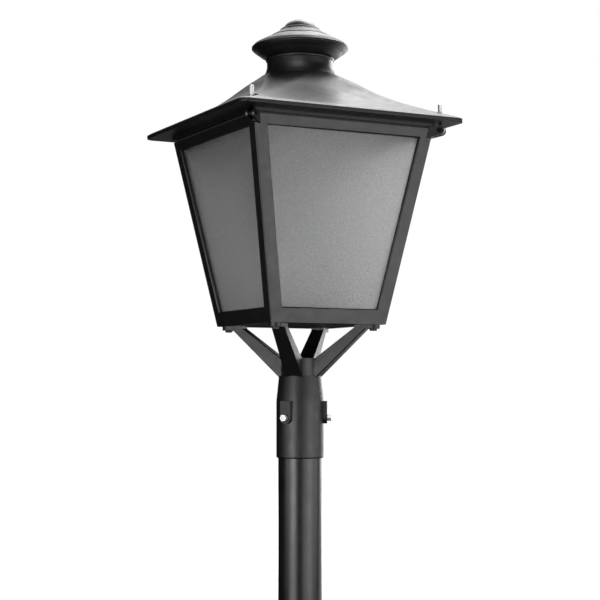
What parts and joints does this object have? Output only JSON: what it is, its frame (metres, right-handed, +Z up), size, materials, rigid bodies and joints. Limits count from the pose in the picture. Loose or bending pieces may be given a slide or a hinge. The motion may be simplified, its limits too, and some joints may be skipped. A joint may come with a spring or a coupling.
{
  "type": "victorian street lantern",
  "caption": "Four-sided tapered street lantern with a hinged bell-cast roof and vent cap, on a bracket of diagonal arms clamped to the top of its round post.",
  "frame": {"origin": "centre of the post's lower cut end, where the picture's edge cuts it off", "axes": "+Z up the post, -Y the wide face of the lantern in the picture, -X its left face; the roof's hinge is at +Y"},
  "size_m": [0.4952, 0.4952, 1.254],
  "materials": {
    "lantern_coat": "satin black powder coat on cast aluminium",
    "post_paint": "satin black paint on galvanised steel",
    "pane_glass": "stippled translucent",
    "rubber": "matte",
    "bright_steel": "stainless",
    "dark_fasteners": "painted over",
    "bare_aluminium": "mill",
    "zinc_sheet": "galvanised sheet",
    "ballast_can": "grey enamel",
    "capacitor_can": "drawn can",
    "gear_plastic": "moulded",
    "terminal_plastic": "moulded",
    "gland_plastic": "black nylon",
    "white_paint": "gloss white enamel",
    "porcelain": "glazed",
    "lamp_glass": "opal coated"
  },
  "bodies": {
    "lantern": {"post_tube": "post_paint", "bracket_casting": "lantern_coat", "set_screws": "bright_steel", "foot_bolts": "dark_fasteners", "foot_washers": "dark_fasteners", "body_frame": "lantern_coat", "pane_front": "pane_glass", "pane_rear": "pane_glass", "pane_left": "pane_glass", "pane_right": "pane_glass", "seal_front": "rubber", "seal_rear": "rubber", "seal_left": "rubber", "seal_right": "rubber", "clamp_bar_1": "lantern_coat", "clamp_bar_2": "lantern_coat", "clamp_bar_3": "lantern_coat", "clamp_bar_4": "lantern_coat", "clamp_screws": "bright_steel", "roof_gasket": "rubber", "barrel_nuts": "dark_fasteners", "hinge_pins": "bright_steel", "cable_gland": "gland_plastic", "gland_nut": "gland_plastic"},
    "roof": {"roof_shell": "lantern_coat", "chimney_neck": "lantern_coat", "cap_pan": "lantern_coat", "cap_cone": "lantern_coat", "finial_knob": "lantern_coat", "tie_bridge": "bare_aluminium", "tie_rod": "bright_steel", "tie_nut": "bright_steel", "gear_tray": "zinc_sheet", "tray_screws": "bright_steel", "ballast": "ballast_can", "capacitor": "capacitor_can", "igniter": "gear_plastic", "terminal_block": "terminal_plastic", "gear_screws": "bright_steel", "reflector": "white_paint", "lamp_holder": "porcelain", "holder_screws": "bright_steel", "lamp": "lamp_glass"},
    "closing_screw_left": {"closing_screw_left": "bright_steel"},
    "closing_screw_right": {"closing_screw_right": "bright_steel"}
  },
  "joints": [
    {"name": "roof_hinge", "type": "hinge", "parent": "lantern", "child": "roof", "pos_m": [0, 0.211, 1.008], "axis": [-1, 0, 0], "range_deg": [0, 95]},
    {"name": "closing_screw_left_slide", "type": "slide", "parent": "roof", "child": "closing_screw_left", "axis": [0, 0, 1], "range_m": [0, 0.016]},
    {"name": "closing_screw_right_slide", "type": "slide", "parent": "roof", "child": "closing_screw_right", "axis": [0, 0, 1], "range_m": [0, 0.016]}
  ]
}
